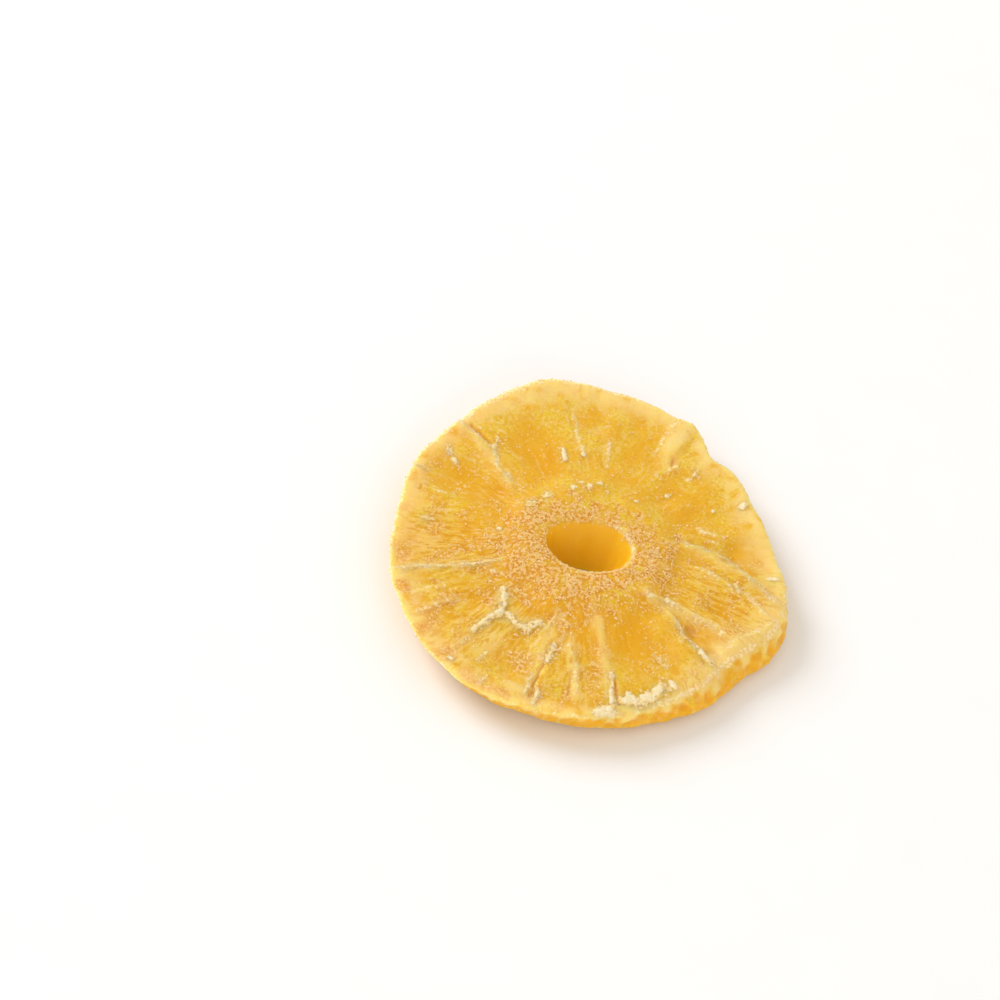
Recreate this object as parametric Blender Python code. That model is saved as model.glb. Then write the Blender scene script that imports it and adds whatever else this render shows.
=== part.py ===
"""Candied pineapple ring: a dried slice of pineapple with its core punched out.

The ring starts as a plain round blank, spun from one rounded section. Every point of the
blank is then moved to where drying has taken it: the rim shrinks to uneven lobes, the core
hole turns oval, the flesh sinks into cells between raised folds, and the edge curls clear of
the table. Lengths are in millimetres and angles in degrees anticlockwise from +X about the
hole, until the finished points are written in metres. The ring lies flat, +Z up, with its
origin at the middle of its underside.
"""

import math
from dataclasses import dataclass

import bmesh
import bpy
from mathutils import Matrix, Vector, noise

MM = 0.001

# Blank: a round ring with a rounded section, before it dries.
SECTIONS_AROUND = 120
BLANK_HOLE = 8.0
BLANK_WIDTH = 31.0
BLANK_HEIGHT = 8.0
RIM_ROUNDING = 1.5
HOLE_ROUNDING = 0.8
ARC_STEPS = 2
TOP_STEPS = 15
UNDERSIDE_STEPS = 9
RIM_STEPS = 3
BORE_STEPS = 3

# Rim, seen from above.
RIM_RADIUS = 38.6
SCALLOP = 0.18

# Core hole: an oval that narrows from its upper lip, its far side leaning in under the lip.
HOLE_CENTRE = (0.0, -0.9)
HOLE_HALF_LENGTH = 8.2
HOLE_HALF_WIDTH = 6.2
HOLE_TURN = 5.0
HOLE_FOOT_SHIFT = (-0.8, -2.8)
HOLE_FOOT_LENGTH_SHARE = 0.76
HOLE_FOOT_WIDTH_SHARE = 0.42

# Heights above the table.
FLESH_HEIGHT = 7.0
CORE_RISE = 1.75
CORE_EDGE = 12.0
CORE_FOOT = 19.5
RIM_RISE = 0.55
RIM_RISE_INSET = 2.6
BACK_RISE = 0.45
UNEVENNESS = 0.3

# Underside: flat round the core, and curled up towards the rim.
FLAT_TO = 25.0
CURL_LEAST = 0.5


@dataclass(frozen=True)
class Lobe:
    """A swelling (or, below zero, a dent) of a round outline, centred on an angle."""

    angle: float
    half_arc: float
    rise: float


@dataclass(frozen=True)
class Cell:
    """A patch of flesh that has sunk between its neighbours."""

    angle: float
    radius: float
    half_arc: float
    half_length: float
    depth: float


@dataclass(frozen=True)
class Fold:
    """A straight ridge (or, below zero, a crease) from an inner to an outer point."""

    inner_angle: float
    inner_radius: float
    outer_angle: float
    outer_radius: float
    half_width: float
    rise: float


RIM_LOBES = (
    Lobe(31, 26, -3.0),
    Lobe(56, 5, -1.9),
    Lobe(69, 4, 1.5),
    Lobe(83, 9, 1.5),
    Lobe(111, 19, 4.3),
    Lobe(132, 8, 0.5),
    Lobe(183, 11, -1.0),
    Lobe(212, 9, 0.4),
    Lobe(245, 29, 3.2),
    Lobe(284, 10, 0.6),
    Lobe(316, 12, 0.6),
    Lobe(333, 14, -1.8),
    Lobe(346, 19, 3.1),
)

HOLE_LOBES = (
    Lobe(46, 16, 0.5),
    Lobe(110, 18, -0.4),
    Lobe(168, 15, 0.4),
    Lobe(216, 14, -0.3),
)

CELLS = (
    Cell(14, 31, 9, 5.5, 1.1),
    Cell(36, 26, 11, 6.5, 0.5),
    Cell(56, 25, 8, 6.0, 0.5),
    Cell(80, 29, 11, 7.5, 0.6),
    Cell(101, 33, 8, 5.0, 0.5),
    Cell(124, 26, 13, 7.5, 0.9),
    Cell(161, 26, 12, 8.0, 0.8),
    Cell(193, 28, 10, 7.5, 0.7),
    Cell(227, 28, 5, 7.0, 0.5),
    Cell(253, 30, 7, 5.5, 0.6),
    Cell(281, 27, 6, 6.0, 0.5),
    Cell(303, 25, 13, 7.5, 0.8),
    Cell(329, 29, 5, 6.0, 0.9),
    Cell(346, 29, 6, 5.0, 0.8),
)

FOLDS = (
    Fold(18, 19, 4, 31, 1.2, 0.7),
    Fold(4, 31, 357, 37, 1.2, 0.6),
    Fold(67, 28, 70, 37, 1.8, 0.6),
    Fold(92, 20, 92, 27, 1.0, 0.4),
    Fold(106, 27, 106, 33, 1.1, 0.4),
    Fold(149, 20, 143, 36, 1.1, 0.6),
    Fold(141, 29, 141, 36, 0.9, -0.8),
    Fold(209, 20, 206, 36, 1.2, 0.7),
    Fold(216, 29, 216, 37, 1.0, 0.4),
    Fold(229, 21, 238, 25, 1.4, 0.5),
    Fold(238, 25, 254, 22, 1.4, 0.5),
    Fold(238, 25, 237, 36, 1.1, 0.5),
    Fold(262, 19, 263, 36, 1.3, 0.5),
    Fold(265, 29, 264, 37, 0.8, -0.7),
    Fold(272, 23, 277, 35, 1.1, 0.5),
    Fold(286, 18, 288, 37, 1.2, 0.5),
    Fold(327, 21, 323, 34, 1.1, 0.7),
    Fold(325, 15, 336, 31, 1.2, 0.7),
)

# How far the foot of the edge lies inside its lip, and how far it curls clear of the table.
UNDERCUT = Lobe(208, 66, 3.4)
UNDERCUT_LEAST = 0.5
CURL = Lobe(212, 62, 2.6)
# The stretch where the edge stands thick, and its lip draws back from a bulging foot.
DRAWN_BACK = Lobe(328, 30, 3.6)
THICK_EDGE = Lobe(322, 40, 1.0)
SHOULDER_DROP = 0.6
SHOULDER_WIDTH = 3.5
EDGE_BULGE = 0.7

FLESH_COLOUR = (0.84, 0.45, 0.05, 1.0)
FLESH_ROUGHNESS = 0.45
FLESH_SCATTERING = 0.6


def clear_scene():
    """Remove every object of the scene."""
    for item in list(bpy.data.objects):
        bpy.data.objects.remove(item, do_unlink=True)


def bell(distance):
    """1 at no distance, falling smoothly to nothing about 2 away."""
    return math.exp(-distance * distance)


def ease(low, high, value):
    """0 below low and 1 above high, with a smooth rise between."""
    share = min(1.0, max(0.0, (value - low) / (high - low)))
    return share * share * (3 - 2 * share)


def turn_from(start, end):
    """The signed turn from one angle to another, the short way round."""
    return (end - start + 180) % 360 - 180


def swell(lobe, angle):
    """How much a lobe adds at an angle."""
    return lobe.rise * bell(turn_from(lobe.angle, angle) / lobe.half_arc)


def rim_radius(angle):
    """The lip of the rim, from the middle of the hole."""
    scallop = SCALLOP * math.sin(math.radians(23 * angle)) * math.sin(math.radians(7 * angle + 40))
    return RIM_RADIUS + scallop + sum(swell(lobe, angle) for lobe in RIM_LOBES)


def place(angle, radius):
    """The point at an angle and a radius about the hole."""
    return Vector((math.cos(math.radians(angle)), math.sin(math.radians(angle)))) * radius


def between(low, high, share):
    """The value a share of the way from low to high."""
    return low + share * (high - low)


def hole_lip(angle):
    """The hole's upper lip: where the ray at an angle leaves the turned oval, with its lobes."""
    turn = Matrix.Rotation(math.radians(-HOLE_TURN), 2)
    ray = turn @ place(angle, 1)
    ray = Vector((ray.x / HOLE_HALF_LENGTH, ray.y / HOLE_HALF_WIDTH))
    centre = turn @ Vector(HOLE_CENTRE)
    centre = Vector((centre.x / HOLE_HALF_LENGTH, centre.y / HOLE_HALF_WIDTH))
    nearest = ray.dot(centre)
    spread = nearest * nearest - ray.length_squared * (centre.length_squared - 1)
    oval = (nearest + math.sqrt(spread)) / ray.length_squared
    return place(angle, oval + sum(swell(lobe, angle) for lobe in HOLE_LOBES))


def bore_point(angle, up):
    """The bore's wall, which closes in from its lip to a smaller foot, shifted sideways."""
    turn = Matrix.Rotation(math.radians(HOLE_TURN), 2)
    reach = turn.inverted() @ (hole_lip(angle) - Vector(HOLE_CENTRE))
    reach.x *= between(HOLE_FOOT_LENGTH_SHARE, 1, up)
    reach.y *= between(HOLE_FOOT_WIDTH_SHARE, 1, up)
    return Vector(HOLE_CENTRE) + Vector(HOLE_FOOT_SHIFT) * (1 - up) + turn @ reach


def cell_depth(angle, radius):
    """How far the sunken cells lower the flesh at a point."""
    depth = 0.0
    for cell in CELLS:
        arc = turn_from(cell.angle, angle) / cell.half_arc
        length = (radius - cell.radius) / cell.half_length
        depth += cell.depth * bell(arc * arc + length * length)
    return depth


def fold_rise(angle, radius):
    """How far the folds and creases lift or lower the flesh at a point."""
    point = place(angle, radius)
    rise = 0.0
    for fold in FOLDS:
        start = place(fold.inner_angle, fold.inner_radius)
        run = place(fold.outer_angle, fold.outer_radius) - start
        along = min(1.0, max(0.0, (point - start).dot(run) / run.length_squared))
        rise += fold.rise * bell((point - start - run * along).length / fold.half_width)
    return rise


def top_height(angle, radius):
    """The height of the upper face."""
    rim = rim_radius(angle)
    core = CORE_RISE * (1 - ease(CORE_EDGE, CORE_FOOT, radius))
    edge = RIM_RISE * bell((rim - radius) / RIM_RISE_INSET)
    back = BACK_RISE * math.sin(math.radians(angle)) * (radius / RIM_RADIUS) ** 2
    point = place(angle, radius)
    uneven = UNEVENNESS * noise.noise(Vector((point.x / 9, point.y / 9, 0)))
    shoulder = swell(THICK_EDGE, angle) * SHOULDER_DROP * bell((rim - radius) / SHOULDER_WIDTH)
    relief = fold_rise(angle, radius) - cell_depth(angle, radius)
    return FLESH_HEIGHT + core + edge + back + uneven - shoulder + relief


def underside_height(angle, radius):
    """The height of the lower face: the table's, then curling up towards the rim."""
    curl = CURL_LEAST + swell(CURL, angle)
    return curl * ease(FLAT_TO, rim_radius(angle), radius)


def dried(angle, across, up):
    """Where drying takes a point of the blank.

    across is 0 at the blank's hole and 1 at its rim, and up is 0 on its underside and 1 on
    its upper face.
    """
    undercut = (UNDERCUT_LEAST + swell(UNDERCUT, angle)) * (1 - up)
    drawn_back = swell(DRAWN_BACK, angle) * up * up
    bulge = EDGE_BULGE * swell(THICK_EDGE, angle) * 4 * up * (1 - up)
    outer = rim_radius(angle) - undercut - drawn_back + bulge
    point = bore_point(angle, up).lerp(place(angle, outer), across)
    heading = math.degrees(math.atan2(point.y, point.x))
    low = underside_height(heading, point.length)
    height = low + up * (top_height(heading, point.length) - low)
    return Vector((point.x, point.y, height))


def arc(centre, radius, start, steps):
    """Points of a quarter turn about a centre in the XZ plane, without its last one."""
    for step in range(steps):
        turn = math.radians(start + 90 * step / steps)
        yield centre[0] + radius * math.cos(turn), centre[1] + radius * math.sin(turn)


def straight(start, end, steps):
    """Points from start towards end, without the last one."""
    for step in range(steps):
        share = step / steps
        yield start[0] + share * (end[0] - start[0]), start[1] + share * (end[1] - start[1])


def section_points():
    """The blank's section, anticlockwise: rim, top, bore and underside with rounded corners."""
    low, high = BLANK_HOLE, BLANK_HOLE + BLANK_WIDTH
    rim, bore, top = RIM_ROUNDING, HOLE_ROUNDING, BLANK_HEIGHT
    return [
        *straight((high, rim), (high, top - rim), RIM_STEPS),
        *arc((high - rim, top - rim), rim, 0, ARC_STEPS),
        *straight((high - rim, top), (low + bore, top), TOP_STEPS),
        *arc((low + bore, top - bore), bore, 90, ARC_STEPS),
        *straight((low, top - bore), (low, bore), BORE_STEPS),
        *arc((low + bore, bore), bore, 180, ARC_STEPS),
        *straight((low + bore, 0), (high - rim, 0), UNDERSIDE_STEPS),
        *arc((high - rim, rim), rim, 270, ARC_STEPS),
    ]


def spin_blank(mesh):
    """Spin the section into a closed round ring."""
    corners = [mesh.verts.new((x, 0, z)) for x, z in section_points()]
    edges = [
        mesh.edges.new((corner, corners[(index + 1) % len(corners)]))
        for index, corner in enumerate(corners)
    ]
    bmesh.ops.spin(
        mesh,
        geom=corners + edges,
        cent=(0, 0, 0),
        axis=(0, 0, 1),
        angle=math.tau,
        steps=SECTIONS_AROUND,
        use_merge=True,
    )
    bmesh.ops.remove_doubles(mesh, verts=mesh.verts, dist=0.001)


def dry(mesh):
    """Move every point of the blank to its place in the dried ring."""
    for vert in mesh.verts:
        angle = math.degrees(math.atan2(vert.co.y, vert.co.x))
        across = (math.hypot(vert.co.x, vert.co.y) - BLANK_HOLE) / BLANK_WIDTH
        vert.co = dried(angle, across, vert.co.z / BLANK_HEIGHT)


def seat_at_origin(mesh):
    """Put the middle of the underside's box at the origin, and turn millimetres to metres."""
    lows = [min(vert.co[axis] for vert in mesh.verts) for axis in range(3)]
    highs = [max(vert.co[axis] for vert in mesh.verts) for axis in range(3)]
    middle = Vector(((lows[0] + highs[0]) / 2, (lows[1] + highs[1]) / 2, lows[2]))
    for vert in mesh.verts:
        vert.co = (vert.co - middle) * MM


def flesh_material():
    """Translucent amber flesh, dulled by dried syrup."""
    material = bpy.data.materials.new("candied_flesh")
    material.use_nodes = True
    surface = material.node_tree.nodes["Principled BSDF"]
    surface.inputs["Base Color"].default_value = FLESH_COLOUR
    surface.inputs["Roughness"].default_value = FLESH_ROUGHNESS
    surface.inputs["Metallic"].default_value = 0.0
    surface.inputs["Subsurface Weight"].default_value = FLESH_SCATTERING
    surface.inputs["Subsurface Scale"].default_value = 3 * MM
    return material


def build_ring():
    """Model the ring as one closed body."""
    mesh = bmesh.new()
    spin_blank(mesh)
    dry(mesh)
    seat_at_origin(mesh)
    bmesh.ops.recalc_face_normals(mesh, faces=mesh.faces)
    data = bpy.data.meshes.new("pineapple_ring")
    mesh.to_mesh(data)
    mesh.free()
    data.shade_smooth()
    data.materials.append(flesh_material())
    ring = bpy.data.objects.new("pineapple_ring", data)
    bpy.context.scene.collection.objects.link(ring)
    return ring


clear_scene()
build_ring()
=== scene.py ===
"""Dress one candied pineapple ring: sugared flesh, syrup crust, crystals and a soft studio.

Lengths in the modelling code are millimetres and angles are degrees anticlockwise from +X
about the pole, the point inside the core hole from which the ring's form is described. A
finished piece is written in metres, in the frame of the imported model.
"""

import logging
import math
from dataclasses import dataclass, field
from enum import Enum
from typing import Callable

import bmesh
import bpy
import numpy as np
from mathutils import Matrix, Vector
from mathutils.bvhtree import BVHTree


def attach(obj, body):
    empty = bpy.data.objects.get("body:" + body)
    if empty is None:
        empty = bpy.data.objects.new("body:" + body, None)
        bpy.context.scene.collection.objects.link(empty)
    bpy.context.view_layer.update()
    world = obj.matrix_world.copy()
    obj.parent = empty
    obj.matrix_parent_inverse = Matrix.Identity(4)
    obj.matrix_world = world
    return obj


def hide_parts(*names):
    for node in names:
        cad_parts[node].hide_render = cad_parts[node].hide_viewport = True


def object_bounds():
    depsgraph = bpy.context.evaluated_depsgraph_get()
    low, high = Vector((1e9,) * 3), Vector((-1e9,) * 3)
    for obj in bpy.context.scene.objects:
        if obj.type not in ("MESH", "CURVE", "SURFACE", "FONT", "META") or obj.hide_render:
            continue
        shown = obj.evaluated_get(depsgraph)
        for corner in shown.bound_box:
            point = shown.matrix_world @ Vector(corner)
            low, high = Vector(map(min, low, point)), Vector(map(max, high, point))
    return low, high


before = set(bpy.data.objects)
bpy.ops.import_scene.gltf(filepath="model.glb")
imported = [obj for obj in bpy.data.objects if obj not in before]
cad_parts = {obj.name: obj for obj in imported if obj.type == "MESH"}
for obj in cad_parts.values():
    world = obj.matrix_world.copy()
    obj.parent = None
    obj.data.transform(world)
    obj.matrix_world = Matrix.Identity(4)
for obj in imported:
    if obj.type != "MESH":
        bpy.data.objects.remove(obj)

CAD_LOW, CAD_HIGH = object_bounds()

Array = np.ndarray
Point = tuple[float, float]

MM = 0.001
NODE = "pineapple_ring"
BODY = "root"

# Halfway from the core to the rim, where the spacing of radial streaks is measured.
MID_RADIUS = 24.0
# As shares of the blank's height: where the side's colour gives way to the upper face's, so
# that loose sugar can lie there, and where the upper face itself begins.
SHOULDER = (0.7, 0.9)
FACE = (0.88, 0.97)

log = logging.getLogger("pineapple_ring")


# --------------------------------------------------------------------------------------
# Small helpers
# --------------------------------------------------------------------------------------


def bell(distance: Array) -> Array:
    """Return 1 at no distance, falling smoothly to nothing about 2 away."""
    return np.exp(-np.square(distance))


def ease(low: float | Array, high: float | Array, value: Array) -> Array:
    """Return 0 below low and 1 above high, with a smooth rise between."""
    share = np.clip((value - low) / (high - low), 0.0, 1.0)
    return share * share * (3 - 2 * share)


def turn_from(start: float, end: Array) -> Array:
    """Return the signed turn in degrees from one angle to others, the short way round."""
    return (end - start + 180) % 360 - 180


def between(low: float | Array, high: float | Array, share: Array) -> Array:
    """Return the value a share of the way from low to high."""
    return low + share * (high - low)


def on_plane(angle: float | Array, radius: float | Array) -> Array:
    """Turn polar places about the pole into points of the plane.

    Args:
        angle: Degrees from +X.
        radius: Millimetres from the pole.

    Returns:
        An array whose last axis holds x and y in millimetres.
    """
    turn = np.radians(angle)
    return np.stack([np.cos(turn) * radius, np.sin(turn) * radius], -1)


def polar(points: Array) -> tuple[Array, Array]:
    """Return the angles of points in degrees from +X, and how far they lie from the pole."""
    return np.degrees(np.arctan2(points[:, 1], points[:, 0])), np.hypot(points[:, 0], points[:, 1])


def at_level(points: Array, level: float = 0.0) -> Array:
    """Lift points of the plane to one level of space."""
    return np.column_stack([points, np.full(len(points), level)])


class SmoothNoise:
    """Seeded gradient noise in three dimensions, about -1 to 1, with features of size 1."""

    # How many slopes the lattice draws from before it repeats, a power of two.
    period: int = 256
    # What brings the noise to about -1 to 1.
    gain: float = 1.6

    def __init__(self, seed: int) -> None:
        """Draw the lattice's slopes.

        Args:
            seed: The seed of the random draw.
        """
        draw = np.random.default_rng(seed)
        self.order = draw.permutation(self.period)
        slopes = draw.normal(size=(self.period, 3))
        self.slopes = slopes / np.linalg.norm(slopes, axis=1, keepdims=True)

    def __call__(self, points: Array) -> Array:
        """Read the noise at points.

        Args:
            points: An array of shape (n, 3), in units of one feature.

        Returns:
            One value for each point.
        """
        last = self.period - 1
        cell = np.floor(points).astype(np.int64)
        inside = points - cell
        fade = inside**3 * (inside * (inside * 6 - 15) + 10)
        total = np.zeros(len(points))
        for corner in np.ndindex(2, 2, 2):
            x, y, z = ((cell + corner) & last).T
            index = self.order[(x + self.order[(y + self.order[z]) & last]) & last]
            slope = np.einsum("ij,ij->i", self.slopes[index], inside - corner)
            weight = np.prod(np.where(corner, fade, 1 - fade), axis=1)
            total += slope * weight
        return total * self.gain


# --------------------------------------------------------------------------------------
# The ring's form, as dried
# --------------------------------------------------------------------------------------


@dataclass(frozen=True)
class Lobe:
    """A swelling (or, below zero, a dent) of a round outline, centred on an angle."""

    angle: float
    half_arc: float
    rise: float

    def at(self, angle: Array) -> Array:
        """Return how much the lobe adds at each angle."""
        return self.rise * bell(turn_from(self.angle, angle) / self.half_arc)


@dataclass(frozen=True)
class Cell:
    """A patch of flesh that has sunk (or, with a depth below zero, stands) between others."""

    angle: float
    radius: float
    half_arc: float
    half_length: float
    depth: float

    def at(self, angle: Array, radius: Array) -> Array:
        """Return how far the cell lowers the flesh at each place."""
        arc = turn_from(self.angle, angle) / self.half_arc
        length = (radius - self.radius) / self.half_length
        return self.depth * bell(arc * arc + length * length)


def total(parts: tuple[Lobe | Cell, ...], *place: Array, start: float = 0) -> Array:
    """Return what lobes or cells add up to at each place, over a start value."""
    return sum((part.at(*place) for part in parts), start)


# How much of a ridge's rise the flesh itself has, the rest being the sugar on it.
RIDGE_SHARE = 0.65
# The step beside a crease: how wide its slope is and how far it fades, in millimetres.
STEP_SLOPE = 0.35
STEP_REACH = 2.8


@dataclass(frozen=True)
class Crease:
    """A ridge (or, below zero, a groove) along a bent line of polar places.

    Its crest may have crusted, and the flesh on the left of its run may stand higher than
    the flesh on the right by a step, which fades out over a few millimetres.
    """

    places: tuple[Point, ...]
    half_width: float
    rise: float
    crust: float = 0.0
    step: float = 0.0

    def gauge(self, points: Array) -> tuple[Array, Array]:
        """Measure points against the line.

        Args:
            points: Points of the plane about the pole, shape (n, 2).

        Returns:
            How far each lies from the line, and how far to the left of its run.
        """
        corners = on_plane(*np.array(self.places, float).T)
        nearest = np.full(len(points), np.inf)
        left = np.zeros(len(points))
        for start, end in zip(corners[:-1], corners[1:]):
            run = end - start
            offset = points - start
            along = np.clip(offset @ run / (run @ run), 0, 1)
            distance = np.linalg.norm(offset - along[:, None] * run, axis=1)
            side = (run[0] * offset[:, 1] - run[1] * offset[:, 0]) / np.linalg.norm(run)
            left = np.where(distance < nearest, side, left)
            nearest = np.minimum(nearest, distance)
        return nearest, left

    def height(self, distance: Array, left: Array, swell: Array) -> Array:
        """Return how the crease lifts points, given how far they lie from it.

        Args:
            distance: Millimetres from the line.
            left: Millimetres to the left of its run.
            swell: A share near 1 that widens and narrows the crease along its length.

        Returns:
            One height for each point.
        """
        rise = RIDGE_SHARE * self.rise if self.rise > 0 else self.rise
        crest = rise * bell(distance / (self.half_width * swell))
        fading = np.exp(-distance / STEP_REACH)
        return crest + 0.5 * self.step * np.tanh(left / STEP_SLOPE) * fading


RIM_LOBES = (
    Lobe(31, 26, -3.0),
    Lobe(56, 5, -1.9),
    Lobe(69, 4, 1.5),
    Lobe(83, 9, 1.5),
    Lobe(111, 19, 4.3),
    Lobe(132, 8, 0.5),
    Lobe(183, 11, -1.0),
    Lobe(212, 9, 0.4),
    Lobe(245, 29, 3.2),
    Lobe(284, 10, 0.6),
    Lobe(316, 12, 0.6),
    Lobe(333, 14, -1.8),
    Lobe(346, 19, 3.1),
)

HOLE_LOBES = (
    Lobe(46, 16, 0.5),
    Lobe(110, 18, -0.4),
    Lobe(168, 15, 0.4),
    Lobe(216, 14, -0.3),
)

CELLS = (
    Cell(14, 31, 9, 5.5, 1.1),
    Cell(36, 26, 11, 6.5, 0.5),
    Cell(56, 25, 8, 6.0, 0.5),
    Cell(80, 29, 11, 7.5, 0.6),
    Cell(101, 33, 8, 5.0, 0.5),
    Cell(124, 26, 13, 7.5, 0.9),
    Cell(161, 26, 12, 8.0, 0.8),
    Cell(193, 28, 10, 7.5, 0.7),
    Cell(227, 28, 5, 7.0, 0.5),
    Cell(253, 30, 7, 5.5, 0.6),
    Cell(281, 27, 6, 6.0, 0.5),
    Cell(303, 25, 13, 7.5, 0.8),
    Cell(329, 29, 5, 6.0, 0.9),
    Cell(346, 29, 6, 5.0, 0.8),
)

# Small pits and the one flap that stands proud, finer than the solid holds.
SMALL_CELLS = (
    Cell(69.5, 33.5, 4.0, 5.5, -0.5),
    Cell(327, 32, 2.4, 1.8, 0.7),
    Cell(328.5, 25.8, 2.6, 1.5, 0.6),
    Cell(65, 28.8, 1.6, 1.3, 0.35),
    Cell(141, 32.5, 1.0, 3.6, 0.25),
)

# The broad folds, which the solid has too.
FOLDS = (
    Crease(((18, 19), (4, 31), (357, 37)), 1.2, 0.45),
    Crease(((67, 28), (70, 37)), 1.8, 0.3),
    Crease(((149, 20), (143, 36)), 1.1, 0.35),
    Crease(((209, 20), (206, 36)), 1.2, 0.4),
    Crease(((229, 21), (238, 25), (254, 22)), 1.4, 0.3),
    Crease(((238, 25), (237, 36)), 1.1, 0.3),
    Crease(((262, 19), (263, 36)), 1.3, 0.4),
    Crease(((272, 23), (277, 35)), 1.1, 0.3),
    Crease(((286, 18), (288, 37)), 1.2, 0.4),
    Crease(((327, 21), (323, 34)), 1.1, 0.4),
    Crease(((325, 15), (336, 31)), 1.2, 0.4),
)

# The fine creases: places, half width, rise, how white the crest has crusted, and the step.
CREASES = (
    Crease(
        ((144, 37.5), (142.5, 33), (141, 29), (144, 26.5), (147, 25), (147.5, 22), (149, 20)),
        0.5, 0.35, 0.7, -0.5,
    ),
    Crease(((141, 29), (137, 30.3)), 0.4, 0.2, 0.8),
    Crease(((141.3, 35.5), (140.2, 30)), 0.34, -0.6),
    Crease(((153, 35.3), (157, 31)), 0.4, 0.25, 0.9),
    Crease(((166, 37), (165.5, 34.5)), 0.35, 0.2, 0.8),
    Crease(((172, 31), (171, 28)), 0.35, 0.2, 0.6),
    Crease(((106, 33.5), (105.5, 28), (104, 22.7)), 0.42, 0.25, 0.6),
    Crease(((113, 24.5), (113.5, 21.5)), 0.4, 0.2, 0.9),
    Crease(((92, 27), (91.5, 20.4)), 0.36, 0.22, 0.65),
    Crease(((67, 23.6), (62.5, 28)), 0.5, 0.35, 0.55),
    Crease(((72.5, 38), (74, 32), (73, 28)), 0.45, 0.25, 0.6),
    Crease(((66.2, 29.4), (64, 27.6)), 0.34, -0.4),
    Crease(((55.6, 30.2), (55.6, 27.6)), 0.35, 0.2, 0.8),
    Crease(((29, 21.7), (22.5, 26.2)), 0.5, 0.3, 0.65),
    Crease(((22, 22.6), (19, 25)), 0.4, 0.25, 0.5),
    Crease(
        ((18, 19), (15, 23), (11.6, 26.7), (6, 29.3), (2, 32), (357, 36)), 0.6, 0.4, 0.75, -0.8
    ),
    Crease(((3, 21), (358.5, 27), (354, 32), (350, 36.5)), 0.5, 0.35, 0.65, -0.5),
    Crease(((359, 28.6), (356, 29.4)), 0.35, 0.2, 0.9),
    Crease(
        ((206, 37.5), (206, 34), (207, 31), (208, 28), (209, 25), (209.7, 22.7), (208.5, 18)),
        0.5, 0.35, 0.8, -0.6,
    ),
    Crease(((209.7, 22.7), (219, 18.5)), 0.4, 0.2, 0.6),
    Crease(((215.5, 36), (215.6, 30)), 0.42, 0.28, 0.5),
    Crease(((222, 38.7), (222, 33), (222.5, 29)), 0.42, 0.3, 0.5),
    Crease(((238, 24), (231.6, 20.8), (228, 20.4)), 0.55, 0.3, 1.0),
    Crease(((238, 24), (237.4, 27.5), (237, 30.7)), 0.55, 0.3, 1.0),
    Crease(((238, 24), (245, 23.7), (252, 24.3), (255.6, 21)), 0.55, 0.3, 1.0),
    Crease(((238.5, 36.5), (238.5, 33)), 0.4, 0.2, 0.8),
    Crease(((246, 35.5), (246, 32.5)), 0.35, 0.2, 0.7),
    Crease(((251, 40), (251, 37.5)), 0.4, 0.2, 0.7),
    Crease(((258, 27), (259.5, 22), (261, 17.5), (266, 18.2), (269, 19.6)), 0.42, 0.28, 0.45),
    Crease(((269, 19.6), (268, 26)), 0.42, 0.25, 0.4),
    Crease(((265.7, 25), (265.4, 29)), 0.45, 0.25, 0.95),
    Crease(((264.5, 29.5), (264.2, 37.5)), 0.3, -0.55, 0.0, 0.3),
    Crease(((262.3, 33), (262.4, 37.5)), 0.4, 0.25, 0.8),
    Crease(((265.8, 36), (265.8, 39.3)), 0.4, 0.25, 0.9),
    Crease(((254, 36), (259, 37.5), (263, 37.4)), 0.7, 0.35, 0.25),
    Crease(((272, 24), (276, 29), (277, 35)), 0.45, 0.35, 0.5),
    Crease(((274.6, 29.5), (274.6, 34.5)), 0.3, -0.35),
    Crease(((283, 13), (287, 20)), 0.9, 0.2, 0.1),
    Crease(((289, 29.5), (288, 33), (287, 36.5)), 0.42, 0.3, 1.0),
    Crease(((289.6, 31.5), (289.4, 36)), 0.32, -0.55),
    Crease(((290.5, 35.2), (295, 36.2), (299, 35.6), (304, 34)), 0.85, 0.2, 1.0),
    Crease(((307.7, 35), (307.7, 33.2)), 0.5, 0.2, 0.9),
    Crease(((309, 30), (308.6, 27.4)), 0.36, 0.2, 0.8),
    Crease(
        ((325, 15.6), (332.5, 18.6), (334, 23.7), (336, 28.7), (335, 31)), 0.5, 0.35, 0.7, 0.6
    ),
    Crease(((326.5, 22.7), (323.4, 26.6), (324.4, 30.4), (323, 33.5)), 0.5, 0.35, 0.85, -0.5),
    Crease(((326, 32.5), (337.7, 34), (344, 36.3), (351.7, 38.6)), 0.8, 0.45, 0.5),
)

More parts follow.
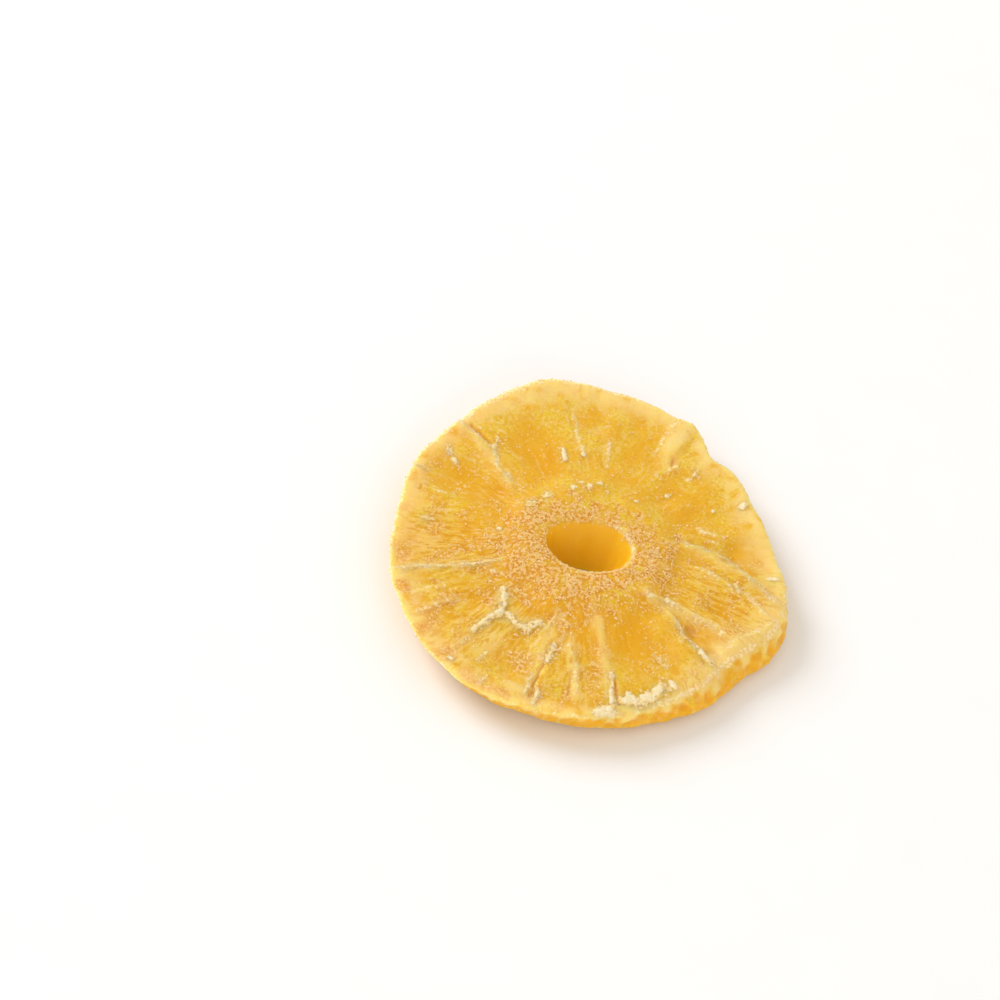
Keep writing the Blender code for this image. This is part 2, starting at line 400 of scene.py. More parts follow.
# Patches where syrup has dried to white crumbs, as cells whose depth is how thickly.
CRUST_PATCHES = (
    Cell(94, 15.0, 3, 0.7, 0.6),
    Cell(101, 13.4, 3, 0.9, 0.7),
    Cell(107, 14.9, 3, 0.6, 0.6),
    Cell(115, 13.2, 3, 0.8, 0.5),
    Cell(86, 13.0, 2, 0.6, 0.5),
    Cell(62, 14.5, 2, 0.7, 0.5),
    Cell(139, 13.5, 5, 1.0, 0.5),
    Cell(155, 14, 5, 0.9, 0.45),
    Cell(103.5, 22.7, 1.4, 0.6, 0.9),
    Cell(113, 23, 1.2, 1.0, 0.9),
    Cell(185, 17.3, 1.8, 0.5, 1.0),
    Cell(185, 31, 0.8, 1.8, 0.4),
    Cell(54.5, 21.3, 2.0, 0.9, 0.5),
    Cell(35, 33, 1.6, 1.0, 0.9),
    Cell(37, 27, 0.9, 0.5, 0.8),
    Cell(5, 35.4, 0.8, 1.4, 1.0),
    Cell(240, 38.6, 1.1, 0.45, 0.7),
    Cell(285, 38.2, 3.2, 1.5, 1.0),
    Cell(293, 34.8, 1.6, 1.2, 1.0),
    Cell(298, 35.0, 1.8, 1.0, 0.9),
    Cell(302, 34.2, 1.4, 0.8, 0.9),
    Cell(307.7, 34, 0.9, 0.7, 0.8),
    Cell(323.5, 31.8, 1.6, 1.8, 0.8),
    Cell(332.5, 18.6, 1.2, 0.5, 1.0),
)

# Where the flesh stays pale away from the rim, as cells whose depth is how strongly.
PALE_PATCHES = (
    Cell(69.5, 33.5, 3.2, 5.0, 0.95),
    Cell(196, 31, 7.0, 5.0, 0.5),
    Cell(259, 36.8, 4.0, 1.3, 0.8),
    Cell(244, 31, 6.0, 5.0, 0.5),
    Cell(284, 17, 3.0, 3.5, 0.5),
    Cell(340, 34, 6.0, 2.0, 0.7),
    Cell(12, 22, 4.0, 2.5, 0.5),
)

# Where the fibres show most, as cells whose depth is how strongly.
FIBROUS = (
    Cell(196, 24, 17, 13.0, 0.95),
    Cell(235, 26, 20, 14.0, 0.75),
    Cell(272, 28, 16, 12.0, 0.6),
    Cell(350, 26, 22, 12.0, 0.8),
    Cell(312, 33, 14, 6.0, 0.5),
    Cell(160, 20, 14, 5.0, 0.6),
    Cell(95, 24, 10, 6.0, 0.3),
)

# How wide the lip of the rim is frosted and whitened by painted highlight, and how white the lip
# of the hole, likewise frost and painted highlight.
RIM_FROST_AND_HIGHLIGHT = (Lobe(128, 36, 1.4), Lobe(185, 30, 0.6), Lobe(85, 20, 0.5), Lobe(232, 26, 0.4))
HOLE_FROST_AND_HIGHLIGHT = (Lobe(285, 60, 0.7), Lobe(25, 40, 0.5))

# How much further in from the rim the pale band, painted light of the thin rim, reaches, and out
# from the core dust reaches, in millimetres.
PALE_WIDTHS = (
    Lobe(110, 34, 8.0),
    Lobe(182, 24, 5.0),
    Lobe(25, 25, 6.0),
    Lobe(60, 15, 3.0),
    Lobe(228, 26, 6.0),
    Lobe(338, 20, 7.0),
)
DUST_REACHES = (
    Lobe(215, 45, 8.0),
    Lobe(0, 30, 6.0),
    Lobe(285, 30, 3.0),
    Lobe(160, 18, 3.0),
    Lobe(75, 30, -2.0),
)

# Where the flesh round the core is darkest: browned flesh, and on the left side painted shade.
BROWNING_AND_SHADE = (Lobe(200, 60, 0.25), Lobe(272, 28, 0.35))

# Where loose grit lies on the flesh beyond the core's dust, and how thickly.
GRITTY = (Lobe(215, 60, 0.4), Lobe(275, 30, 0.2), Lobe(345, 35, 0.3))


@dataclass
class RingForm:
    """The dried ring's surfaces as functions of polar places, in millimetres.

    A pattern is read by dividing points by the size of its features in millimetres. A number
    added after that reads the same noise elsewhere, so that no two patterns match.
    """

    rim_mean: float = 38.6
    # The rim's small waves: how high, how many, in how many groups, and where they start.
    scallop: float = 0.18
    scallops: int = 23
    scallop_groups: int = 7
    scallop_start: float = 40.0
    hole_centre: Point = (0.0, -0.9)
    hole_half_length: float = 8.2
    hole_half_width: float = 6.2
    hole_turn: float = 5.0
    foot_shift: Point = (-0.8, -2.8)
    foot_length_share: float = 0.76
    foot_width_share: float = 0.42
    flesh_height: float = 7.0
    core_rise: float = 1.5
    core_edge: float = 12.0
    core_foot: float = 19.5
    core_waver: float = 1.6
    rim_rise: float = 0.55
    rim_rise_inset: float = 2.6
    back_rise: float = 0.45
    flat_to: float = 25.0
    curl_least: float = 0.5
    curl: Lobe = Lobe(212, 62, 2.6)
    undercut: Lobe = Lobe(208, 66, 3.4)
    undercut_least: float = 0.5
    drawn_back: Lobe = Lobe(328, 30, 3.6)
    thick_edge: Lobe = Lobe(322, 40, 1.0)
    shoulder_drop: float = 0.6
    shoulder_width: float = 3.5
    edge_bulge: float = 0.7
    sugar_coat: float = 0.2
    # How far creases waver sideways, and by what share their width swells.
    waver: float = 0.35
    swelling_share: float = 0.55
    # How high the fine relief of the upper face stands.
    waves: float = 0.26
    ripples: float = 0.13
    fibre_rise: float = 0.09
    wrinkle_rise: float = 0.12
    core_grit_rise: float = 0.09
    grit_lost_outside: float = 0.05
    fibres_from: Point = (13.0, 20.0)
    # How far the underside is dimpled and ribbed.
    dimple_rise: float = 0.35
    rib_rise: float = 0.12
    # How rough the outer edge is, how much more so where it is thick, and the bore's ribs.
    edge_rough: float = 0.45
    thick_rough: float = 0.5
    edge_grit: float = 0.3
    bore_ribs: float = 0.12
    # How far in from the rim the pale band of painted rim light reaches, and how far its border
    # wanders.
    pale_width: float = 4.0
    pale_wander: float = 2.5
    # How far out from the pole the core's dust reaches, and how far its border wanders.
    dust_reach: float = 14.5
    dust_wander: float = 5.0
    dust_ragged: float = 5.5
    # How wide the rim's lip is frosted and whitened by painted highlight, and how far that varies.
    frost_width: float = 0.45
    frost_wander: float = 0.35
    # Creases whiter than this carry crust that stands proud.
    crust_from: float = 0.55
    # How thick the crust lies on patches and crests, the most it may, and what bare flesh takes.
    patch_crust: float = 0.6
    crest_crust: float = 0.38
    crust_most: float = 0.3
    crust_bare: float = 0.12
    crumb_rise: float = 0.12
    uneven: SmoothNoise = field(default_factory=lambda: SmoothNoise(3))
    fibre: SmoothNoise = field(default_factory=lambda: SmoothNoise(8))
    grit: SmoothNoise = field(default_factory=lambda: SmoothNoise(21))

    def rim_radius(self, angle: Array) -> Array:
        """Return the lip of the rim, from the pole, less the coat of loose sugar."""
        grouped = np.sin(np.radians(self.scallop_groups * angle + self.scallop_start))
        wave = np.sin(np.radians(self.scallops * angle)) * grouped
        radius = self.rim_mean - self.sugar_coat + self.scallop * wave
        return radius + total(RIM_LOBES, angle)

    def hole_radius(self, angle: Array) -> Array:
        """Return the hole's upper lip, where rays from the pole leave the turned oval."""
        scale = np.array([self.hole_half_length, self.hole_half_width])
        centre = np.array(self.hole_centre) @ self.hole_axes() / scale
        ray = on_plane(angle, 1.0) @ self.hole_axes() / scale
        nearest = ray @ centre
        square = np.einsum("ij,ij->i", ray, ray)
        oval = (nearest + np.sqrt(nearest**2 - square * (centre @ centre - 1))) / square
        return oval + total(HOLE_LOBES, angle)

    def hole_axes(self) -> Array:
        """Return the hole's long and short directions, as the columns of a matrix."""
        turn = math.radians(self.hole_turn)
        return np.array([[math.cos(turn), -math.sin(turn)], [math.sin(turn), math.cos(turn)]])

    def bore_points(self, angle: Array, up: Array) -> Array:
        """Return the bore's wall, which closes in from its lip to a smaller, shifted foot.

        Args:
            angle: Degrees.
            up: 0 at the foot of the bore and 1 at its lip.

        Returns:
            Points of the plane, shape (n, 2).
        """
        centre = np.array(self.hole_centre)
        reach = (on_plane(angle, self.hole_radius(angle)) - centre) @ self.hole_axes()
        shares = (self.foot_length_share, self.foot_width_share)
        reach *= between(np.array(shares), 1.0, up[:, None])
        shift = np.array(self.foot_shift) * (1 - up[:, None])
        return centre + shift + reach @ self.hole_axes().T

    def radial_points(self, angle: Array, radius: Array, across: float, along: float) -> Array:
        """Give points whose noise runs in streaks from the core to the rim.

        Args:
            angle: Degrees.
            radius: Millimetres.
            across: The streaks' spacing round the ring, at mid radius.
            along: Their length along the radius.

        Returns:
            Points for a noise, shape (n, 3).
        """
        flat = on_plane(angle, MID_RADIUS / across)
        return np.column_stack([flat, radius / along])

    def waved(self, points: Array) -> Array:
        """Return points shifted a little sideways, so that no drawn crease looks ruled."""
        deep = at_level(points / 2.2)
        sideways = np.column_stack([self.uneven(deep), self.uneven(deep + 31.0)])
        return points + self.waver * sideways

    def swelling(self, points: Array) -> Array:
        """Return a share near 1 by which creases widen and narrow along their length."""
        return 1 + self.swelling_share * self.uneven(at_level(points / 1.6, 8.0))

    def broad_height(self, angle: Array, radius: Array) -> Array:
        """Return the upper face's height without its fine relief."""
        rim = self.rim_radius(angle)
        points = on_plane(angle, radius)
        waver = self.core_waver * self.uneven(at_level(points / 7, 4.0))
        core = self.core_rise * (1 - ease(self.core_edge, self.core_foot, radius + waver))
        edge = self.rim_rise * bell((rim - radius) / self.rim_rise_inset)
        back = self.back_rise * np.sin(np.radians(angle)) * (radius / self.rim_mean) ** 2
        drop = self.thick_edge.at(angle) * self.shoulder_drop
        shoulder = drop * bell((rim - radius) / self.shoulder_width)
        sunk = total(CELLS, angle, radius)
        return self.flesh_height + core + edge + back - shoulder - sunk

    def fine_height(self, angle: Array, radius: Array) -> Array:
        """Return the relief of folds, creases, fibres and grit on the upper face."""
        points = on_plane(angle, radius)
        waved, swell = self.waved(points), self.swelling(points)
        height = sum(c.height(*c.gauge(waved), swell) for c in FOLDS + CREASES)
        height -= total(SMALL_CELLS, angle, radius)
        flat = at_level(points)
        waves, ripples = self.uneven(flat / 6.5), self.uneven(flat / 2.8 + 9.0)
        height += self.waves * waves + self.ripples * ripples
        out = ease(*self.fibres_from, radius)
        height += self.fibre_rise * out * self.fibre(self.radial_points(angle, radius, 1.3, 6.0))
        crinkled = ease(0.0, 0.6, self.uneven(flat / 8.0 + 40.0))
        wrinkle = 1 - np.abs(self.fibre(self.radial_points(angle, radius, 3.2, 9.0) + 5.0)) * 3.0
        height += self.wrinkle_rise * out * crinkled * np.clip(wrinkle, 0, 1) ** 2
        height += (self.core_grit_rise - self.grit_lost_outside * out) * self.grit(flat / 0.8)
        return height

    def top_height(self, angle: Array, radius: Array) -> Array:
        """Return the upper face's height."""
        return self.broad_height(angle, radius) + self.fine_height(angle, radius)

    def underside_height(self, angle: Array, radius: Array) -> Array:
        """Return the lower face's height: on the table, then curling up to the rim."""
        curl = self.curl_least + self.curl.at(angle)
        flat = at_level(on_plane(angle, radius), 50.0)
        dimple = self.dimple_rise * np.clip(self.uneven(flat / 5.0), 0, 1)
        ribbed = self.fibre(self.radial_points(angle, radius, 2.0, 8.0) + 70.0)
        rib = self.rib_rise * np.clip(ribbed, 0, 1)
        return curl * ease(self.flat_to, self.rim_radius(angle), radius) + dimple + rib

    def dried(self, angle: Array, across: Array, up: Array) -> Array:
        """Return where drying takes points of the blank.

        Args:
            angle: Degrees.
            across: 0 at the blank's hole and 1 at its rim.
            up: 0 on the blank's underside and 1 on its upper face.

        Returns:
            Points in millimetres about the pole, shape (n, 3).
        """
        undercut = (self.undercut_least + self.undercut.at(angle)) * (1 - up)
        drawn_back = self.drawn_back.at(angle) * up * up
        bulge = self.edge_bulge * self.thick_edge.at(angle) * 4 * up * (1 - up)
        outer = on_plane(angle, self.rim_radius(angle) - undercut - drawn_back + bulge)
        flat = between(self.bore_points(angle, up), outer, across[:, None])
        heading = np.degrees(np.arctan2(flat[:, 1], flat[:, 0]))
        radius = np.linalg.norm(flat, axis=1)
        low = self.underside_height(heading, radius)
        height = low + up * (self.top_height(heading, radius) - low)
        points = np.column_stack([flat, height])
        return points + self.wall_relief(points, angle, across, up)

    def wall_relief(self, points: Array, angle: Array, across: Array, up: Array) -> Array:
        """Return the small bumps of the outer edge and the bore's wall."""
        outward = at_level(on_plane(angle, 1.0))
        edge = ease(0.93, 1.0, across) * 4 * up * (1 - up)
        bore = ease(0.06, 0.0, across) * 4 * up * (1 - up)
        rough = self.edge_rough + self.thick_edge.at(angle) * self.thick_rough
        grit = self.edge_grit * np.abs(self.grit(points / 1.1))
        lumps = -rough * np.abs(self.uneven(points / 2.6)) - grit
        ribs = self.bore_ribs * self.fibre(points * (1.0, 1.0, 0.25))
        return outward * (edge * lumps - bore * ribs)[:, None]

    def masks(self, points: Array, across: Array, up: Array) -> dict[str, Array]:
        """Say how the flesh has coloured and crusted at points of the dried surface.

        Args:
            points: Places about the pole, in millimetres, shape (n, 3).
            across: The blank's 0 at its hole to 1 at its rim; not used.
            up: The blank's 0 on its underside to 1 on its upper face.

        Returns:
            Shares from 0 to 1 by name: pale, deep, bore, dust, frost and fibrous.
        """
        angle, radius = polar(points)
        lip = self.rim_radius(angle) - self.drawn_back.at(angle)
        flat = at_level(points[:, :2])
        waved, swell = self.waved(points[:, :2]), self.swelling(points[:, :2])
        face = ease(*FACE, up)

        # Pale: near the rim and over the edge's shoulder, painted light where the thin rim lets
        # light through; on folds and in patches, paler flesh.
        width = self.pale_width + total(PALE_WIDTHS, angle)
        width = width + self.pale_wander * self.uneven(flat / 4.0)
        down = up + 0.5 * self.uneven(points / 2.0)
        pale_and_rim_glow = ease(0.5, 1.05, down) * (1 - ease(0, np.maximum(width, 1.0), lip - radius))
        for fold in FOLDS:
            distance, _ = fold.gauge(waved)
            pale_and_rim_glow = np.maximum(pale_and_rim_glow, 0.6 * face * bell(distance / (1.2 * fold.half_width * swell)))
        for patch in PALE_PATCHES:
            pale_and_rim_glow = np.maximum(pale_and_rim_glow, face * patch.at(angle, radius))

        # Deep amber: painted shade in the sunken cells and grooves; also on the outer edge, and
        # round the core where the flesh is browner, with painted shade on the left.
        deep = 0.75 * total(CELLS + SMALL_CELLS, angle, radius)
        browning_and_shade = total(BROWNING_AND_SHADE, angle, start=0.45)
        deep += browning_and_shade * bell((radius - 18) / 6.0) + 0.25 * self.uneven(flat / 5.0 + 3.0)
        deep = between(0.75 + 0.9 * self.uneven(points / 1.8), deep, ease(*SHOULDER, up))

        # Crusted crests, and the halo of dust beside them.
        ridged = np.zeros(len(points))
        halo = np.zeros(len(points))
        patchy = 0.25 + 0.75 * ease(-0.4, 0.2, self.uneven(flat / 1.2 + 60.0))
        for crease in CREASES:
            distance, _ = crease.gauge(waved)
            near = bell(distance / (crease.half_width * swell * 1.4))
            ridged = np.maximum(ridged, min(crease.crust * 1.4, 1.0) * near * patchy)
            halo = np.maximum(halo, crease.crust * bell(distance / 1.8))
            # Painted shade: a groove darkens the flesh beside it to deep amber.
            deep += max(-crease.rise, 0) * 1.3 * bell(distance / (crease.half_width * 1.5))
        patches = 0.7 * total(CRUST_PATCHES, angle, radius)

        # Dust: thick round the core, thin beside crests and where grit is scattered.
        reach = self.dust_reach + total(DUST_REACHES, angle)
        reach = reach + self.dust_wander * self.uneven(flat / 3.5)
        ragged = self.dust_ragged * self.uneven(flat / 1.4 + 23.0)
        dust = 1 - ease(reach - 7.5, reach + 3.0, radius + ragged)
        dust *= 0.8 + 0.5 * self.uneven(flat / 2.2 + 33.0)
        gritty = 0.25 + total(GRITTY, angle)
        scattered = gritty * ease(-0.3, 0.4, self.uneven(flat / 4.5 + 70.0))
        dust = np.maximum(dust, np.maximum(0.5 * halo, scattered))

        # Frost and painted highlight: along the lips of the rim and the hole, partly sugar frost,
        # partly painted highlight where the key catches them. Where the rim's lip is frosted
        # widely, the frost and painted highlight run down the wall too.
        band = self.frost_width + total(RIM_FROST_AND_HIGHLIGHT, angle)
        band = np.maximum(band + self.frost_wander * self.uneven(flat / 1.8 + 14.0), 0.1)
        frost_and_lip_highlight = ease(0.82 - 0.5 * ease(0.7, 1.5, band), 0.92, up)
        frost_and_lip_highlight *= 1 - ease(0.4 * band, 1.5 * band, lip - radius)
        frost_and_lip_highlight *= ease(0.15, 0.5, band)
        mouth = 1 - ease(0.2, 1.1, radius - self.hole_radius(angle))
        frost_and_lip_highlight += mouth * face * (0.2 + total(HOLE_FROST_AND_HIGHLIGHT, angle))
        frost_and_lip_highlight = np.maximum(frost_and_lip_highlight, face * np.maximum(ridged, patches))

        fibrous = total(FIBROUS, angle, radius)
        # Painted light: the bore's wall is brightened, standing in for light that comes through
        # the flesh into the hole.
        bore = bell(np.maximum(radius - self.hole_radius(angle), 0) / 0.8) * (1 - face)
        shares = {
            "pale_and_rim_glow": pale_and_rim_glow,
            "deep": deep,
            "bore": bore,
            "dust": dust * face,
            "frost_and_lip_highlight": frost_and_lip_highlight,
            "fibrous": fibrous * face,
        }
        return {name: np.clip(share, 0, 1) for name, share in shares.items()}

    def crust(self, points: Array) -> Array:
        """Return how thick the crust of dried syrup lies, in millimetres, below 0 where none.

        Args:
            points: Points of the plane about the pole, shape (n, 2).

        Returns:
            One thickness for each point.
        """
        angle, radius = polar(points)
        waved, swell = self.waved(points), self.swelling(points)
        thick = self.patch_crust * total(CRUST_PATCHES, angle, radius)
        for crease in CREASES:
            if crease.crust > self.crust_from:
                distance, _ = crease.gauge(waved)
                share = (crease.crust - self.crust_from) / (1 - self.crust_from)
                near = bell(distance / (crease.half_width * swell * 1.2))
                thick += self.crest_crust * share * near
        flat = at_level(points, 7.0)
        # The crust breaks up where it lies thin, and levels off where it lies thick.
        broken = self.uneven(flat / 0.9) + 0.8 * self.grit(flat / 0.45)
        crumbly = self.crumb_rise * self.grit(flat / 0.3) * ease(0, 0.25, thick)
        lying = thick * np.clip(0.85 + broken * (1 - 0.5 * ease(0.2, 0.5, thick)), 0, 1.4)
        return self.crust_most * np.tanh(lying / 0.35) + crumbly - self.crust_bare


# --------------------------------------------------------------------------------------
# Modelling as by hand
# --------------------------------------------------------------------------------------


def deselect_all() -> None:
    """Leave nothing selected, as every step of modelling starts."""
    bpy.ops.object.select_all(action="DESELECT")


def named(name: str) -> bpy.types.Object:
    """Name the object just added, and its mesh, and return it."""
    piece = bpy.context.active_object
    piece.name = name
    piece.data.name = name
    return piece


def pick(piece: bpy.types.Object, wanted: Callable[[Vector], bool]) -> None:
    """Select, in edit mode, the points whose place passes a test and what joins them.

    Args:
        piece: The object in edit mode.
        wanted: The test, given each point's place.
    """
    work = bmesh.from_edit_mesh(piece.data)
    for point in work.verts:
        point.select_set(bool(wanted(point.co)))
    work.select_flush_mode()
    bmesh.update_edit_mesh(piece.data)


def places_of(piece: bpy.types.Object) -> Array:
    """Return the places of a mesh's points, shape (n, 3)."""
    flat = np.empty(len(piece.data.vertices) * 3)
    piece.data.vertices.foreach_get("co", flat)
    return flat.reshape(-1, 3)


def put_places(piece: bpy.types.Object, places: Array) -> None:
    """Move a mesh's points, as a sculptor would, all at once."""
    piece.data.vertices.foreach_set("co", np.ascontiguousarray(places, float).ravel())
    piece.data.update()


def paint(piece: bpy.types.Object, name: str, values: Array) -> None:
    """Store one number for each point of a mesh, for a material to read."""
    layer = piece.data.attributes.new(name, "FLOAT", "POINT")
    layer.data.foreach_set("value", np.ascontiguousarray(values, np.float32))


def smooth(piece: bpy.types.Object) -> None:
    """Shade one piece smooth."""
    deselect_all()
    piece.select_set(True)
    bpy.context.view_layer.objects.active = piece
    bpy.ops.object.shade_smooth()


def settle(piece: bpy.types.Object) -> None:
    """Put a piece's faces in an order that is the same in each run.

    Edit mode leaves the faces, and the corner that each starts at, in an order that changes
    from run to run. What is strewn on the faces or cast onto them would change with it.

    Args:
        piece: The piece, in object mode.
    """
    loose = piece.data
    faces = []
    for face in loose.polygons:
        corners = list(face.vertices)
        first = corners.index(min(corners))
        faces.append(corners[first:] + corners[:first])
    piece.data = bpy.data.meshes.new(piece.name)
    piece.data.from_pydata([tuple(point.co) for point in loose.vertices], [], sorted(faces))
    bpy.data.meshes.remove(loose)


@dataclass
class Blank:
    """The plain round slice before drying: a rounded section, spun about the pole."""

    hole: float = 8.0
    width: float = 31.0
    height: float = 8.0
    rim_rounding: float = 1.5
    hole_rounding: float = 0.8
    arc_steps: int = 4
    top_steps: int = 84
    rim_steps: int = 9
    underside_steps: int = 14
    bore_steps: int = 8
    around: int = 720

    def build(self, name: str) -> bpy.types.Object:
        """Model the blank about the origin, in millimetres.

        Args:
            name: The name to give it.

        Returns:
            The blank, closed, with its faces outward.
        """
        rim = self.hole + self.width
        middle = self.hole + self.width / 2
        deselect_all()
        bpy.ops.mesh.primitive_plane_add(size=1, location=(0, 0, 0))
        piece = named(name)
        bpy.ops.object.mode_set(mode="EDIT")
        bpy.ops.transform.rotate(value=math.pi / 2, orient_axis="X", center_override=(0, 0, 0))
        bpy.ops.transform.resize(value=(self.width, 1, self.height), center_override=(0, 0, 0))
        bpy.ops.transform.translate(value=(middle, 0, self.height / 2))
        pick(piece, lambda place: place.x > middle)
        bpy.ops.mesh.bevel(offset=self.rim_rounding, segments=self.arc_steps, affect="VERTICES")
        pick(piece, lambda place: place.x < self.hole + self.width * 0.01)
        bpy.ops.mesh.bevel(offset=self.hole_rounding, segments=self.arc_steps, affect="VERTICES")
        bpy.ops.mesh.select_all(action="SELECT")
        bpy.ops.mesh.delete(type="ONLY_FACE")
        tiny = self.width * 1e-4
        sides = (
            (self.top_steps, lambda place: place.z > self.height - tiny),
            (self.underside_steps, lambda place: place.z < tiny),
            (self.rim_steps, lambda place: place.x > rim - tiny),
            (self.bore_steps, lambda place: place.x < self.hole + tiny),
        )
        for steps, on_side in sides:
            pick(piece, on_side)
            bpy.ops.mesh.subdivide(number_cuts=steps - 1)
        bpy.ops.mesh.select_all(action="SELECT")
        bpy.ops.mesh.spin(steps=self.around, angle=math.tau, center=(0, 0, 0), axis=(0, 0, 1))
        bpy.ops.mesh.select_all(action="SELECT")
        bpy.ops.mesh.remove_doubles(threshold=tiny)
        bpy.ops.mesh.normals_make_consistent(inside=False)
        bpy.ops.object.mode_set(mode="OBJECT")
        settle(piece)
        return piece


# --------------------------------------------------------------------------------------
# Finishes
# --------------------------------------------------------------------------------------


def linear(colour: str) -> tuple[float, float, float, float]:
    """Turn an sRGB hex colour into the linear values that a shader takes."""
    shares = [int(colour[place : place + 2], 16) / 255 for place in (1, 3, 5)]
    return (*(s / 12.92 if s <= 0.04045 else ((s + 0.055) / 1.055) ** 2.4 for s in shares), 1.0)


def add_node(
    tree: bpy.types.NodeTree, kind: str, inputs: dict | None = None, **settings: object
) -> bpy.types.Node:
    """Add a node to a tree with its settings, values and links.

    Args:
        tree: The node tree.
        kind: The node's type name.
        inputs: For each input, by name or number, its value or the output that feeds it.
        **settings: The node's own properties.

    Returns:
        The new node.
    """
    node = tree.nodes.new(kind)
    for name, value in settings.items():
        setattr(node, name, value)
    for name, value in (inputs or {}).items():
        if isinstance(value, bpy.types.NodeSocket):
            tree.links.new(value, node.inputs[name])
        else:
            node.inputs[name].default_value = value
    return node


# The Mix node's numbered sockets: its share, its two colours and its mixed colour.
SHARE, FIRST, SECOND, MIXED = 0, 6, 7, 2


def tinted(
    tree: bpy.types.NodeTree, first: str, layers: tuple[tuple, ...], **reading: str
) -> bpy.types.NodeSocket:
    """Lay colours over a first one, each as far as its pattern says.

    Args:
        tree: The node tree.
        first: The colour underneath.
        layers: For each, a pattern, the range of it that counts, the most that it covers
            and its colour.
        **reading: How a pattern's range is read.

    Returns:
        The output that holds the colour.
    """
    colour = linear(first)
    for pattern, low, high, most, tone in layers:
        share = add_node(
            tree,
            "ShaderNodeMapRange",
            {"Value": pattern, "From Min": low, "From Max": high, "To Max": most},
            **reading,
        ).outputs["Result"]
        colour = add_node(
            tree,
            "ShaderNodeMix",
            {SHARE: share, FIRST: colour, SECOND: linear(tone)},
            data_type="RGBA",
        ).outputs[MIXED]
    return colour


@dataclass(frozen=True)
class Finish:
    """A material and the way its surface was made."""

    name: str

    def sheet(self) -> tuple[bpy.types.Material, bpy.types.NodeTree]:
        """Start a material with nothing on its node tree."""
        material = bpy.data.materials.new(self.name)
        material.use_nodes = True
        material.node_tree.nodes.clear()
        return material, material.node_tree

    def make(self) -> bpy.types.Material:
        """Build the material, as each finish does in its own way."""
        raise NotImplementedError


